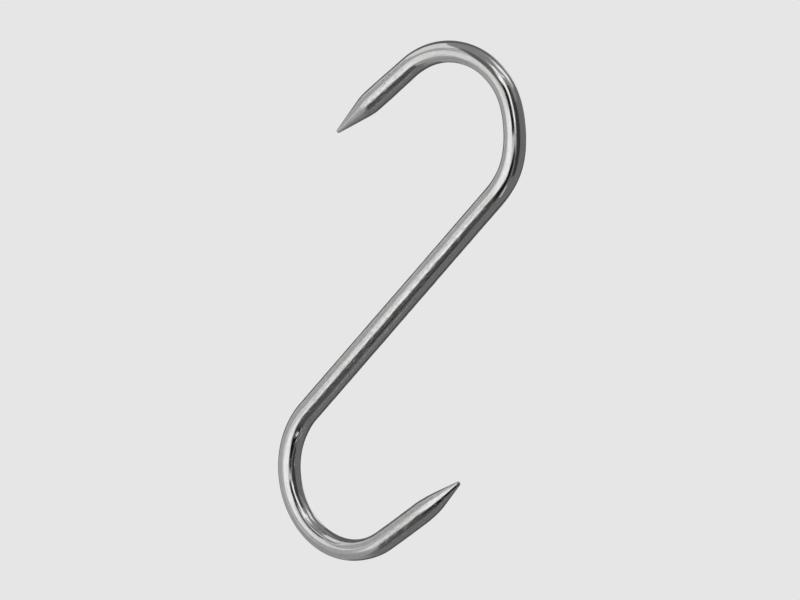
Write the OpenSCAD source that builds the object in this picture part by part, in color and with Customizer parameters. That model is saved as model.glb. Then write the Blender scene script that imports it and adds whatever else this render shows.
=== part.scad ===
// S-hook bent cold from one length of round stainless bar, with both ends ground to a blunt point.
// It hangs upright: +Z is up, the hook lies in the XZ plane, and the origin is the place on the
// inside of the upper bend where the rail carries it. The load hangs straight below, on the Z axis.

/* [Bar] */
// Diameter of the round bar
bar_d = 8; // [6:0.5:12]
// Straight length of the shank between the two bends
shank_l = 107.5; // [40:0.5:250]

/* [Upper hook] */
// Radius of the upper bend, measured to the middle of the bar
upper_r = 27.8; // [12:0.1:60]
// Angle that the bar turns through in the upper bend
upper_turn = 171.28; // [120:0.01:180]
// Straight length of the upper arm, from the bend to the shoulder of its point
upper_arm_l = 21; // [8:0.5:60]
// Angle between the flanks of the upper point
upper_point_angle = 23.6; // [16:0.1:60]
// Radius of the blunted tip of the upper point
upper_tip_r = 0.7; // [0.3:0.05:1.5]
// Radius that softens the shoulder of the upper point
upper_shoulder_r = 25; // [5:1:60]

/* [Lower hook] */
// Radius of the lower bend, measured to the middle of the bar
lower_r = 26.9; // [12:0.1:60]
// Angle that the bar turns through in the lower bend
lower_turn = 170.4; // [120:0.01:180]
// Straight length of the lower arm, from the bend to the shoulder of its point
lower_arm_l = 22.9; // [8:0.5:60]
// Angle between the flanks of the lower point
lower_point_angle = 25.1; // [16:0.1:60]
// Radius of the blunted tip of the lower point
lower_tip_r = 0.8; // [0.3:0.05:1.5]
// Radius that softens the shoulder of the lower point
lower_shoulder_r = 50; // [5:1:60]

/* [Hidden] */

bar_r = bar_d / 2;
bar_facets = 96;
shoulder_steps = 12;
tip_steps = 10;
// The most of an arm or a flank that the rounding of a shoulder may use up
shoulder_share = 0.9;

// The centres of the two bends stand one above the other, which sets the lean of the shank.
shank_lean = atan2(upper_r + lower_r, shank_l);
rail_seat_to_bend_centre = upper_r - bar_r;

// Places a point of an arc: radius r about the centre c, at an angle from the outward direction
function on_arc(c, r, angle) = [c.x + r * cos(angle), c.y + r * sin(angle)];

// Slant length of the flank, from the sharp shoulder to where the ball of the tip takes over
function flank_l(half_angle, tip_r) = (bar_r - tip_r * cos(half_angle)) / sin(half_angle);

// Half outline of a pointed arm, from the middle of its root to its tip: the straight side, the
// arc that softens the shoulder, the flank, and the ball of the tip. The flank is tangent to both.
function pointed_outline(arm_l, half_angle, tip_r, shoulder_r) =
    let (
        flank = flank_l(half_angle, tip_r),
        most = shoulder_share * min(arm_l, flank),
        rounding = min(shoulder_r * tan(half_angle / 2), most),
        arc_r = rounding / tan(half_angle / 2),
        arc_centre = [bar_r - arc_r, arm_l - rounding],
        ball_centre = [0, arm_l + flank * cos(half_angle) - tip_r * sin(half_angle)]
    )
    concat(
        [[0, 0], [bar_r, 0]],
        [for (i = [0:shoulder_steps]) on_arc(arc_centre, arc_r, half_angle * i / shoulder_steps)],
        [for (i = [0:tip_steps - 1])
            on_arc(ball_centre, tip_r, half_angle + (90 - half_angle) * i / tip_steps)],
        [ball_centre + [0, tip_r]]
    );

// A straight arm that ends in a ground point, running up +Z from its root
module pointed_arm(arm_l, point_angle, tip_r, shoulder_r) {
    rotate_extrude($fn = bar_facets)
        polygon(pointed_outline(arm_l, point_angle / 2, tip_r, shoulder_r));
}

// All that lies on the -Z side of the origin, as far as a bend of this radius can reach
module below(bend_r) {
    reach = bend_r + bar_d;
    translate([-reach, -bar_d, -reach])
        cube([2 * reach, 2 * bar_d, reach]);
}

// The bent stretch, whose middle line starts at the origin, runs up +Z and turns to -X. It is what
// is left of a whole ring once the parts before the bend and past its end are taken off.
module bend(bend_r, turn) {
    translate([-bend_r, 0, 0])
        difference() {
            rotate([90, 90, 0])
                rotate_extrude($fn = 2 * bar_facets)
                    translate([bend_r, 0])
                        circle(d = bar_d, $fn = bar_facets);
            below(bend_r);
            rotate([0, -turn, 0])
                rotate([180, 0, 0])
                    below(bend_r);
        }
}

// Carries its children from the start of a bend to its end
module after_bend(bend_r, turn) {
    translate([-bend_r, 0, 0])
        rotate([0, -turn, 0])
            translate([bend_r, 0, 0])
                children();
}

module upper_hook() {
    bend(upper_r, upper_turn);
    after_bend(upper_r, upper_turn)
        pointed_arm(upper_arm_l, upper_point_angle, upper_tip_r, upper_shoulder_r);
}

module lower_hook() {
    bend(lower_r, lower_turn);
    after_bend(lower_r, lower_turn)
        pointed_arm(lower_arm_l, lower_point_angle, lower_tip_r, lower_shoulder_r);
}

// One bent bar: the upper hook opens to -X and the lower hook, turned half round, to +X.
module hook() {
    color("silver")
        translate([0, 0, -rail_seat_to_bend_centre])
            rotate([0, shank_lean, 0])
                translate([upper_r, 0, -shank_l]) {
                    cylinder(d = bar_d, h = shank_l, $fn = bar_facets);
                    translate([0, 0, shank_l])
                        upper_hook();
                    rotate([0, 180, 0])
                        lower_hook();
                }
}

hook();
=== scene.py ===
from math import atan2, cos, hypot, pi, radians, sin, tan

import bmesh
import bpy
from mathutils import Matrix, Vector


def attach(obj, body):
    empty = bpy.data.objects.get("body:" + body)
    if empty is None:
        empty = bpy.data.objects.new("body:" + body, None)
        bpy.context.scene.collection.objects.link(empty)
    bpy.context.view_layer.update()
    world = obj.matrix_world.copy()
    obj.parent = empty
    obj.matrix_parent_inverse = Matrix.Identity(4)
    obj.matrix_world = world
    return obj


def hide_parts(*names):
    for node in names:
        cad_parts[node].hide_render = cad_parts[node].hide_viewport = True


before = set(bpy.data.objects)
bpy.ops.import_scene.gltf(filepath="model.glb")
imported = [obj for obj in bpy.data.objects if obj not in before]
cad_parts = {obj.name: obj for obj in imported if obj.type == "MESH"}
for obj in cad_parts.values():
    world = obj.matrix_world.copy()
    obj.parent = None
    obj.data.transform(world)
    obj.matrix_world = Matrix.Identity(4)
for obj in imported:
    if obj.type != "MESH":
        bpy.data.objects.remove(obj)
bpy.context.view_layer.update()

# ---------------------------------------------------------------------------------------------
# The bar
# One length of 8 mm round stainless bar, cut to length and ground to a blunt point at each end
# while still straight. It is turned about its own middle line, which runs up Z from the lower
# end of what becomes the shank. The wheel has left a narrow flat, and use has left two nicks.
# ---------------------------------------------------------------------------------------------
bar_radius = 0.003988
shank_length = 0.1075

upper_bend = {"radius": 0.0278, "turn": radians(171.28), "arm": 0.021,
              "half_point": radians(11.8), "tip": 0.0007, "shoulder": 0.025}
lower_bend = {"radius": 0.0269, "turn": radians(170.4), "arm": 0.0229,
              "half_point": radians(12.55), "tip": 0.0008, "shoulder": 0.050}

ring_spacing = 0.0005
facets_round = 96
shoulder_steps = 12
tip_steps = 10
touching = 1e-7


def point_outline(end):
    """Radius and distance from the end of the arm's bend, from the shoulder to the tip."""
    half, tip = end["half_point"], end["tip"]
    flank = (bar_radius - tip * cos(half)) / sin(half)
    softened = end["shoulder"] * tan(half / 2)
    outline = []
    for step in range(shoulder_steps + 1):
        angle = half * step / shoulder_steps
        outline.append((bar_radius - end["shoulder"] * (1 - cos(angle)),
                        end["arm"] - softened + end["shoulder"] * sin(angle)))
    ball = end["arm"] + flank * cos(half) - tip * sin(half)
    for step in range(tip_steps + 1):
        angle = half + (pi / 2 - half) * step / tip_steps
        outline.append((tip * cos(angle), ball + tip * sin(angle)))
    return outline


def bend_length(end):
    return end["radius"] * end["turn"]


upper_start = shank_length + bend_length(upper_bend)
lower_start = -bend_length(lower_bend)
outline = ([(r, lower_start - d) for r, d in reversed(point_outline(lower_bend))]
           + [(r, upper_start + d) for r, d in point_outline(upper_bend)])

turned = bmesh.new()
chain = [turned.verts.new((r if r > touching else 0, 0, z)) for r, z in outline]
for near, far in zip(chain, chain[1:]):
    turned.edges.new((near, far))
for edge in list(turned.edges):
    cuts = int(edge.calc_length() / ring_spacing)
    if cuts:
        bmesh.ops.subdivide_edges(turned, edges=[edge], cuts=cuts)
bmesh.ops.spin(turned, geom=turned.verts[:] + turned.edges[:], axis=(0, 0, 1), cent=(0, 0, 0),
               angle=2 * pi, steps=facets_round, use_merge=True)
bmesh.ops.remove_doubles(turned, verts=turned.verts, dist=touching)
bmesh.ops.recalc_face_normals(turned, faces=turned.faces)


def outward(faces):
    """The direction straight out of the bar at an angle round it."""
    return Vector((cos(faces), sin(faces), 0))


# The narrow flat along the lower point, which comes in over a few millimetres before the shoulder
flat_faces = radians(-122)
flat_half_width = 0.00033
flat_starts_before = 0.0056
flat_comes_in_over = 0.004
for vertex in turned.verts:
    past_shoulder = lower_start - lower_bend["arm"] - vertex.co.z
    share = min(max((past_shoulder + flat_starts_before) / flat_comes_in_over, 0), 1)
    if share:
        reach = max(hypot(vertex.co.x, vertex.co.y) ** 2 - (share * flat_half_width) ** 2, 0) ** 0.5
        proud = vertex.co.dot(outward(flat_faces)) - reach
        if proud > 0:
            vertex.co -= outward(flat_faces) * proud

# A knock has raised the metal where the lower bend begins, inside a shallow moat, and another has
# dented the shank.
nicks = [{"along": -0.0086, "faces": radians(-41), "half_length": 0.0026, "half_width": 0.0007,
          "proud": 0.00022},
         {"along": 0.0291, "faces": radians(-59), "half_length": 0.0014, "half_width": 0.0006,
          "proud": -0.00008}]
nick_cuts = 4
nick_margin = 1.8
moat_width = 0.7
moat_depth = 0.2
for nick in nicks:
    out, proud = outward(nick["faces"]), nick["proud"]
    round_bar = Vector((-out.y, out.x, 0))
    middle = out * bar_radius + Vector((0, 0, nick["along"]))
    nick_reach = nick_margin * nick["half_length"] + ring_spacing
    around = [edge for edge in turned.edges
              if all((vertex.co - middle).length < nick_reach for vertex in edge.verts)]
    bmesh.ops.subdivide_edges(turned, edges=around, cuts=nick_cuts, use_grid_fill=True)
    for vertex in turned.verts:
        from_middle = vertex.co - middle
        if from_middle.length < nick_reach:
            away = hypot(from_middle.z / nick["half_length"],
                         from_middle.dot(round_bar) / nick["half_width"])
            raised = proud * cos(pi / 2 * min(away, 1)) ** 2
            if proud > 0 and 1 < away < 1 + moat_width:
                raised -= moat_depth * proud * sin(pi * (away - 1) / moat_width) ** 2
            radial = Vector((vertex.co.x, vertex.co.y, 0)).normalized()
            vertex.co = radial * (bar_radius + raised) + Vector((0, 0, vertex.co.z))

# ---------------------------------------------------------------------------------------------
# The hook
# The straight bar is bent cold round two formers, the second bend the other way from the first,
# so it becomes an S in one plane. Bending draws the bar a little flatter, and grinding by hand
# leaves each point a touch off the middle.
# ---------------------------------------------------------------------------------------------
shank_lean = atan2(upper_bend["radius"] + lower_bend["radius"], shank_length)
rail_seat_drop = upper_bend["radius"] - bar_radius


def smooth(x):
    """Rises gently from 0 to 1 as x does, and stays there."""
    x = min(max(x, 0), 1)
    return x * x * (3 - 2 * x)


# How thick the bar is across the plane of the hook, as a share of its size, at distances along it
thickness_along = [(lower_start, 0.97), (lower_start + 0.010, 0.93), (lower_start + 0.030, 0.98),
                   (0.0, 1.02), (shank_length, 0.97), (shank_length + 0.040, 0.90),
                   (upper_start, 0.94), (upper_start + 0.015, 0.98)]

# How far its middle line strays from the true S, towards the outside of the upper bend
straying_along = [(lower_start - 0.010, -0.0001), (lower_start + 0.010, 0.0001),
                  (lower_start + 0.030, 0.0), (shank_length, 0.0), (shank_length + 0.010, 0.0002),
                  (shank_length + 0.025, -0.0003), (shank_length + 0.040, 0.0002),
                  (shank_length + 0.060, 0.0)]


def along_bar(stations, along):
    """A value that changes smoothly between stations given as (distance along the bar, value)."""
    for (start, low), (end, high) in zip(stations, stations[1:]):
        if along <= end:
            return low + (high - low) * smooth((along - start) / (end - start))
    return stations[-1][1]


# How far each ground point leans off the middle, towards the outside of the upper bend, and the
# length from the shoulder over which it does
upper_point_lean = 0.000055
lower_point_lean = 0.00055
lean_length = 0.02


def bent(place):
    """Where a point of the straight bar ends up on the hook."""
    across, side, along = place
    across = across * along_bar(thickness_along, along) + along_bar(straying_along, along)
    across += upper_point_lean * smooth((along - upper_start - upper_bend["arm"]) / lean_length)
    across += lower_point_lean * smooth((lower_start - lower_bend["arm"] - along) / lean_length)
    for end, sign, beyond in ((upper_bend, 1, along - shank_length), (lower_bend, -1, -along)):
        if beyond > 0:
            angle = min(beyond / end["radius"], end["turn"])
            past = beyond - angle * end["radius"]
            x = sign * (-end["radius"] + end["radius"] * cos(angle) - past * sin(angle))
            z = sign * (end["radius"] * sin(angle) + past * cos(angle))
            if sign > 0:
                z += shank_length
            break
    else:
        angle, x, z = 0, 0, along
    x += across * cos(angle)
    z += across * sin(angle)
    x += upper_bend["radius"]
    z -= shank_length
    return Vector((x * cos(shank_lean) + z * sin(shank_lean), side,
                   z * cos(shank_lean) - x * sin(shank_lean) - rail_seat_drop))


# Where the wheel's marks begin, before the shoulder of the upper point, and how fast they and the
# buffing inside the bends come in
wheel_starts_before = 0.00168
wheel_comes_in_over = 0.0012
buffing_comes_in_over = 0.008

straight_place = turned.verts.layers.float_vector.new("straight_bar")
ground_share = turned.verts.layers.float.new("ground")
buffed_share = turned.verts.layers.float.new("buffed")
for vertex in turned.verts:
    along = vertex.co.z
    vertex[straight_place] = vertex.co
    past_shoulder = along - upper_start - upper_bend["arm"]
    vertex[ground_share] = smooth((past_shoulder + wheel_starts_before) / wheel_comes_in_over)
    inside_bend = max(min(along - shank_length, upper_start - along),
                      min(-along, along - lower_start))
    vertex[buffed_share] = smooth(inside_bend / buffing_comes_in_over + 0.5)
    vertex.co = bent(vertex.co)
for face in turned.faces:
    face.smooth = True
hook_mesh = bpy.data.meshes.new("polished_hook")
turned.to_mesh(hook_mesh)
turned.free()
hook = bpy.data.objects.new("polished_hook", hook_mesh)
bpy.context.scene.collection.objects.link(hook)
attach(hook, "root")
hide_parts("hook")

# ---------------------------------------------------------------------------------------------
# The finish
# Drawn bar polished bright along its length, which leaves fine lengthwise lines and a slight
# unevenness round it, with a few pits. The lower point is polished like the bar. The upper one
# is left as it came off the grinding wheel, with fine rings round it.
# ---------------------------------------------------------------------------------------------
steel = bpy.data.materials.new("polished_stainless")
steel.use_nodes = True
nodes, links = steel.node_tree.nodes, steel.node_tree.links
shader = nodes["Principled BSDF"]
shader.inputs["Metallic"].default_value = 1.0


def node(kind, **settings):
    made = nodes.new(kind)
    for name, value in settings.items():
        setattr(made, name, value)
    return made


def plug(target, value):
    if isinstance(value, bpy.types.NodeSocket):
        links.new(value, target)
    else:
        target.default_value = value


def calculate(operation, *values):
    made = node("ShaderNodeMath", operation=operation)
    for socket, value in zip(made.inputs, values):
        plug(socket, value)
    return made.outputs[0]


def remap(value, low, high, out_low=0.0, out_high=1.0, kind="LINEAR"):
    made = node("ShaderNodeMapRange", interpolation_type=kind, clamp=True)
    for socket, number in zip(made.inputs, (value, low, high, out_low, out_high)):
        plug(socket, number)
    return made.outputs[0]


def blend(share, low, high):
    made = node("ShaderNodeMix", data_type="FLOAT")
    plug(made.inputs[0], share)
    plug(made.inputs[2], low)
    plug(made.inputs[3], high)
    return made.outputs[0]


bar_place = node("ShaderNodeAttribute", attribute_name="straight_bar").outputs["Vector"]
ground = node("ShaderNodeAttribute", attribute_name="ground").outputs["Fac"]
buffed = node("ShaderNodeAttribute", attribute_name="buffed").outputs["Fac"]


def grain(scale, stretch, detail, roughness):
    """Noise on the straight bar, in features per metre across, drawn out along it by stretch."""
    drawn = node("ShaderNodeMapping", vector_type="POINT")
    links.new(bar_place, drawn.inputs["Vector"])
    drawn.inputs["Scale"].default_value = (1.0, 1.0, 1.0 / stretch)
    made = node("ShaderNodeTexNoise")
    links.new(drawn.outputs[0], made.inputs["Vector"])
    made.inputs["Scale"].default_value = scale
    made.inputs["Detail"].default_value = detail
    made.inputs["Roughness"].default_value = roughness
    return made.outputs["Fac"]


die_lines = grain(scale=1100, stretch=40, detail=2.0, roughness=0.6)
polishing_marks = grain(scale=2000, stretch=7, detail=2.0, roughness=0.65)
unevenness = grain(scale=520, stretch=2.4, detail=1.0, roughness=0.5)
satin = grain(scale=2200, stretch=2.6, detail=2.0, roughness=0.6)
wheel_rings = grain(scale=2600, stretch=0.09, detail=3.0, roughness=0.6)

# Small pits: one in the middle of about every fifteenth cell. The same mask sinks them into the bar
# and darkens their colour with painted shade.
pit_cells_per_metre = 420
pit_cells = node("ShaderNodeTexVoronoi", feature="F1")
links.new(bar_place, pit_cells.inputs["Vector"])
pit_cells.inputs["Scale"].default_value = pit_cells_per_metre
pit_colour = node("ShaderNodeSeparateColor")
links.new(pit_cells.outputs["Color"], pit_colour.inputs[0])
chosen = remap(pit_colour.outputs[0], 0.93, 0.94)
pits = calculate("MULTIPLY", chosen, remap(pit_cells.outputs["Distance"], 0.10, 0.02))

# The larger pits, by how far along the bar they are and which way they face
pit_rim, pit_floor, pit_depth = 0.00045, 0.00010, 0.8
for along, faces in ((0.0247, -50), (0.1967, -70), (0.1997, -92), (0.1999, -69), (0.2123, -152)):
    from_pit = node("ShaderNodeVectorMath", operation="DISTANCE")
    links.new(bar_place, from_pit.inputs[0])
    from_pit.inputs[1].default_value = outward(radians(faces)) * bar_radius + Vector((0, 0, along))
    pit = remap(from_pit.outputs["Value"], pit_rim, pit_floor, 0.0, pit_depth)
    pits = calculate("MAXIMUM", pits, pit)

# Buffing inside the bends has worn the marks down, so they are less than half as strong there.
worn = blend(buffed, 1.0, 0.4)
marks = calculate("MULTIPLY", calculate("SUBTRACT", polishing_marks, 0.5), worn)
sheen_marks = calculate("MULTIPLY", calculate("SUBTRACT", satin, 0.5), worn)

# The lines, marks, rings and pits all go into the bar. Depths are in steps of a fiftieth of a
# millimetre.
depth_step = 0.00002
waves = calculate("MULTIPLY", unevenness, blend(buffed, 2.4, 1.2))
lines = calculate("ADD", calculate("MULTIPLY", die_lines, 0.6), calculate("MULTIPLY", marks, 0.7))
drawn_depth = calculate("ADD", waves, lines)
depth = blend(ground, drawn_depth, calculate("MULTIPLY", wheel_rings, 0.25))
depth = calculate("ADD", depth, calculate("MULTIPLY", pits, 1.6))
bump = node("ShaderNodeBump", invert=True)
bump.inputs["Strength"].default_value = 1.0
bump.inputs["Distance"].default_value = depth_step
links.new(depth, bump.inputs["Height"])
links.new(bump.outputs[0], shader.inputs["Normal"])

# The deeper a polishing mark, the duller it is.
polished_roughness = remap(marks, -0.03, 0.22, 0.05, 0.48)
ground_roughness = remap(wheel_rings, 0.3, 0.7, 0.14, 0.30)
links.new(blend(ground, polished_roughness, ground_roughness), shader.inputs["Roughness"])

bright_steel = (0.73, 0.73, 0.725, 1)
dull_steel = (0.57, 0.57, 0.565, 1)
# Painted shade: the dark grey that the pits' colour is darkened to
pit_shade_grey = (0.25, 0.25, 0.25, 1)


def mixed_colour(share, low, high):
    made = node("ShaderNodeMix", data_type="RGBA")
    plug(made.inputs[0], share)
    plug(made.inputs[6], low)
    plug(made.inputs[7], high)
    return made.outputs[2]


dullness = calculate("ADD", sheen_marks, calculate("MULTIPLY", marks, 0.6))
tone = mixed_colour(remap(dullness, -0.15, 0.15), bright_steel, dull_steel)
# Steel tone, with painted shade darkening the colour inside the pits
links.new(mixed_colour(pits, tone, pit_shade_grey), shader.inputs["Base Color"])
hook_mesh.materials.append(steel)

# ---------------------------------------------------------------------------------------------
# The camera
# It looks at the middle of the shank from a metre away, turned to the right of the hook, raised
# above it, and tilted about its own line of sight.
# ---------------------------------------------------------------------------------------------
camera_turned, camera_raised, camera_tilted = radians(35.4), radians(14.0), radians(16.1)
camera_distance = 1.0
looked_at = Vector((-0.0001, 0.0003, -0.0820))

camera_back = Vector((sin(camera_turned) * cos(camera_raised),
                      -cos(camera_turned) * cos(camera_raised), sin(camera_raised)))
level_right = Vector((cos(camera_turned), sin(camera_turned), 0))
level_up = camera_back.cross(level_right)
camera_right = level_right * cos(camera_tilted) + level_up * sin(camera_tilted)
camera_up = level_up * cos(camera_tilted) - level_right * sin(camera_tilted)
camera_axes = Matrix((camera_right, camera_up, camera_back)).transposed().to_4x4()

camera_data = bpy.data.cameras.new("camera")
camera_data.sensor_width = 36
camera_data.lens = 134.2
camera = bpy.data.objects.new("camera", camera_data)
bpy.context.scene.collection.objects.link(camera)
camera.matrix_world = Matrix.Translation(looked_at + camera_back * camera_distance) @ camera_axes
bpy.context.scene.camera = camera

bpy.context.scene.view_settings.view_transform = "Standard"

# ---------------------------------------------------------------------------------------------
# The backdrop and the floor
# A plain pale backdrop all round, which the metal mirrors as well, and a pale floor well below
# the hanging hook. The floor takes the hook's shadow and runs out into the backdrop.
# ---------------------------------------------------------------------------------------------
backdrop_grey = (0.7913, 0.7913, 0.7913, 1)
daylight = 0.75

world = bpy.data.worlds.new("backdrop")
world.use_nodes = True
bpy.context.scene.world = world
nodes, links = world.node_tree.nodes, world.node_tree.links
nodes["Background"].inputs["Color"].default_value = (1, 1, 1, 1)
nodes["Background"].inputs["Strength"].default_value = daylight
seen = node("ShaderNodeBackground")
seen.inputs["Strength"].default_value = 1.0
seen.inputs["Color"].default_value = backdrop_grey


def seen_directly():
    """1 where the camera, a reflection or a view through glass looks straight at this surface."""
    path = node("ShaderNodeLightPath")
    mirrored = calculate("MAXIMUM", path.outputs["Is Glossy Ray"], path.outputs["Is Transmission Ray"])
    return calculate("MAXIMUM", path.outputs["Is Camera Ray"], mirrored)


def mixed_shader(share, low, high):
    made = node("ShaderNodeMixShader")
    links.new(share, made.inputs[0])
    links.new(low.outputs[0], made.inputs[1])
    links.new(high.outputs[0], made.inputs[2])
    return made


lit_or_seen = mixed_shader(seen_directly(), nodes["Background"], seen)
links.new(lit_or_seen.outputs[0], nodes["World Output"].inputs["Surface"])

floor_height = -0.45
floor_half_width = 6
run_out_starts, run_out_ends = 0.32, 0.62
sheet = bmesh.new()
bmesh.ops.create_grid(sheet, x_segments=1, y_segments=1, size=floor_half_width)
bmesh.ops.translate(sheet, verts=sheet.verts, vec=(0, 0, floor_height))
floor_mesh = bpy.data.meshes.new("floor")
sheet.to_mesh(floor_mesh)
sheet.free()
floor = bpy.data.objects.new("floor", floor_mesh)
bpy.context.scene.collection.objects.link(floor)
# The low cards of the studio stand beneath the floor, so the metal doesn't mirror it.
floor.visible_glossy = False

paper = bpy.data.materials.new("pale_floor")
paper.use_nodes = True
nodes, links = paper.node_tree.nodes, paper.node_tree.links
shader = nodes["Principled BSDF"]
shader.inputs["Base Color"].default_value = backdrop_grey
shader.inputs["Roughness"].default_value = 0.9
shader.inputs["Specular IOR Level"].default_value = 0.1
place = node("ShaderNodeTexCoord")
from_middle = node("ShaderNodeVectorMath", operation="DISTANCE")
links.new(place.outputs["Object"], from_middle.inputs[0])
from_middle.inputs[1].default_value = (0, 0, floor_height)
far_off = remap(from_middle.outputs["Value"], run_out_starts, run_out_ends, kind="SMOOTHSTEP")
glow = node("ShaderNodeEmission")
glow.inputs["Color"].default_value = backdrop_grey
run_out = mixed_shader(calculate("MULTIPLY", far_off, seen_directly()), shader, glow)
links.new(run_out.outputs[0], nodes["Material Output"].inputs["Surface"])
floor_mesh.materials.append(paper)

# ---------------------------------------------------------------------------------------------
# The studio
# Soft boxes, black flags and grey walls stand round the hook, which is what bright metal is lit
# with: it mirrors them, and nothing else sees them. Their angles are counted from the camera's
# side of the hook. One large soft lamp overhead lights the floor.
# ---------------------------------------------------------------------------------------------
hook_middle = Vector((0, 0, -0.0837))
# The most of a card's width or height that the soft edge on each side may take up
most_soft = 0.49

card_face = bpy.data.materials.new("card_face")
card_face.use_nodes = True
nodes, links = card_face.node_tree.nodes, card_face.node_tree.links
nodes.remove(nodes["Principled BSDF"])
told = node("ShaderNodeObjectInfo")
glow = node("ShaderNodeEmission")
links.new(told.outputs["Color"], glow.inputs["Color"])
clear = node("ShaderNodeBsdfTransparent")
edge = remap(node("ShaderNodeAttribute", attribute_name="inside_edge").outputs["Fac"],
             0.0, 1.0, kind="SMOOTHSTEP")
cloth = mixed_shader(edge, clear, glow)
links.new(cloth.outputs[0], nodes["Material Output"].inputs["Surface"])
card_face.cycles.emission_sampling = "NONE"


def studio_card(name, sideways, upwards, distance, width, height, brightness, soft_edge, turned_by=0):
    """A flat card that faces the hook. Angles are degrees right of and above the camera's side."""
    azimuth, elevation, turn = radians(sideways), radians(upwards), radians(turned_by)
    outwards = (camera_right * (sin(azimuth) * cos(elevation)) + camera_up * sin(elevation)
                + camera_back * (cos(azimuth) * cos(elevation)))
    across = camera_right * cos(azimuth) - camera_back * sin(azimuth)
    upright = across.cross(outwards)
    if upright.dot(camera_up) < 0:
        upright = -upright
    card_x = across * cos(turn) + upright * sin(turn)
    card_y = upright * cos(turn) - across * sin(turn)
    card_axes = Matrix((card_x, card_y, outwards)).transposed().to_4x4()
    card = bmesh.new()
    bmesh.ops.create_grid(card, x_segments=1, y_segments=1, size=0.5)
    bmesh.ops.scale(card, verts=card.verts, vec=(width, height, 1))
    inside = card.verts.layers.float.new("inside_edge")
    soft = min(soft_edge, most_soft * min(width, height))
    bmesh.ops.inset_region(card, faces=card.faces[:], thickness=soft, use_boundary=True,
                           use_even_offset=True)
    for vertex in card.verts:
        vertex[inside] = 1.0 if abs(vertex.co.x) < width / 2 - soft / 2 else 0.0
    bmesh.ops.transform(card, verts=card.verts,
                        matrix=Matrix.Translation(hook_middle + outwards * distance) @ card_axes)
    mesh = bpy.data.meshes.new(name)
    card.to_mesh(mesh)
    card.free()
    mesh.materials.append(card_face)
    made = bpy.data.objects.new(name, mesh)
    bpy.context.scene.collection.objects.link(made)
    made.color = (brightness, brightness, brightness, 1)
    made.visible_camera = False
    made.visible_diffuse = False
    made.visible_shadow = False
    made.visible_transmission = False


black = 0.01

# Soft boxes and strips: bright, most with a soft edge
studio_card("main_soft_box", -40, -10, 0.7, 0.75, 0.7, 1.2, 0.15, turned_by=10)
studio_card("soft_box_spill", -65, -5, 1.0, 0.75, 1.3, 0.95, 0.15, turned_by=-30)
studio_card("front_strip", 10, 40, 1.6, 0.6, 2.1, 1.35, 0.2, turned_by=15)
studio_card("front_high_strip", -5, 45, 1.9, 0.9, 0.5, 1.35, 0.2)
studio_card("overhead_strip", 25, 60, 1.3, 0.75, 0.1, 1.05, 0.01, turned_by=5)
studio_card("overhead_panel", 90, 60, 0.4, 0.2, 0.25, 1.35, 0.1, turned_by=10)
studio_card("rear_left_lamp", -100, 55, 0.3, 0.2, 0.15, 0.9, 0.01, turned_by=-20)
studio_card("rear_soft_box", 175, 0, 1.2, 1.2, 0.8, 1.0, 0.2)
studio_card("rear_strip", 150, 20, 1.2, 0.5, 0.9, 1.0, 0.15)
studio_card("small_window", 25, -55, 1.1, 0.15, 0.3, 0.8, 0.01, turned_by=10)

# Black flags and dark cards, which draw the dark lines along the bar
studio_card("black_flag_high", -10, 20, 1.75, 1.05, 1.25, black, 0.15, turned_by=5)
studio_card("black_flag_low", 0, -30, 1.25, 0.9, 1.45, black, 0.25, turned_by=-35)
studio_card("black_strip_low", -10, -60, 0.15, 0.06, 0.02, black, 0.002, turned_by=35)
studio_card("dark_card_right", 40, 5, 1.45, 1.15, 3.0, 0.05, 0.2, turned_by=5)
studio_card("dark_card_low", -35, -50, 1.75, 1.15, 1.8, 0.1, 0.1, turned_by=15)

# Grey cards, which fill in between the boxes and the flags
studio_card("grey_card_high", -45, 45, 2.0, 1.5, 1.8, 0.15, 0.35)
studio_card("grey_card_low", 20, -20, 1.0, 0.2, 1.0, 0.2, 0.05, turned_by=5)
studio_card("grey_card_left", -120, -45, 0.75, 1.0, 0.9, 0.4, 0.25, turned_by=10)

# The room: walls, ceiling and the cloth under everything
studio_card("left_wall", -100, -20, 1.5, 3.3, 5.5, 0.5, 0.7, turned_by=-25)
studio_card("right_wall", 90, -15, 2.0, 5.5, 5.5, 0.2, 0.35, turned_by=10)
studio_card("rear_right_wall", 155, -20, 2.25, 2.5, 3.0, 0.1, 0.4, turned_by=10)
studio_card("rear_left_wall", 180, 25, 1.9, 4.0, 6.0, 0.15, 0.5, turned_by=25)
studio_card("ceiling", 20, 75, 1.75, 4.0, 4.0, 0.3, 0.25, turned_by=30)
studio_card("ground_cloth", 50, -95, 2.0, 4.0, 6.0, 0.2, 0.35)

# Small cards close to the hook, on its left
studio_card("low_spill_card", -85, -30, 0.3, 0.1, 0.2, 0.5, 0.03, turned_by=-10)
studio_card("near_left_card", -55, 5, 0.09, 0.1, 0.03, 0.85, 0.01, turned_by=-5)

lamp_size = 1.2
lamp_place = Vector((-0.3, -0.3, 1.4))
lamp_data = bpy.data.lights.new("overhead_lamp", "AREA")
lamp_data.shape = "SQUARE"
lamp_data.size = lamp_size
lamp_data.energy = 9
lamp = bpy.data.objects.new("overhead_lamp", lamp_data)
bpy.context.scene.collection.objects.link(lamp)
lamp.location = lamp_place
to_floor = Vector((0, 0, floor_height)) - lamp_place
lamp.rotation_euler = to_floor.to_track_quat("-Z", "Y").to_euler()
lamp.visible_glossy = False
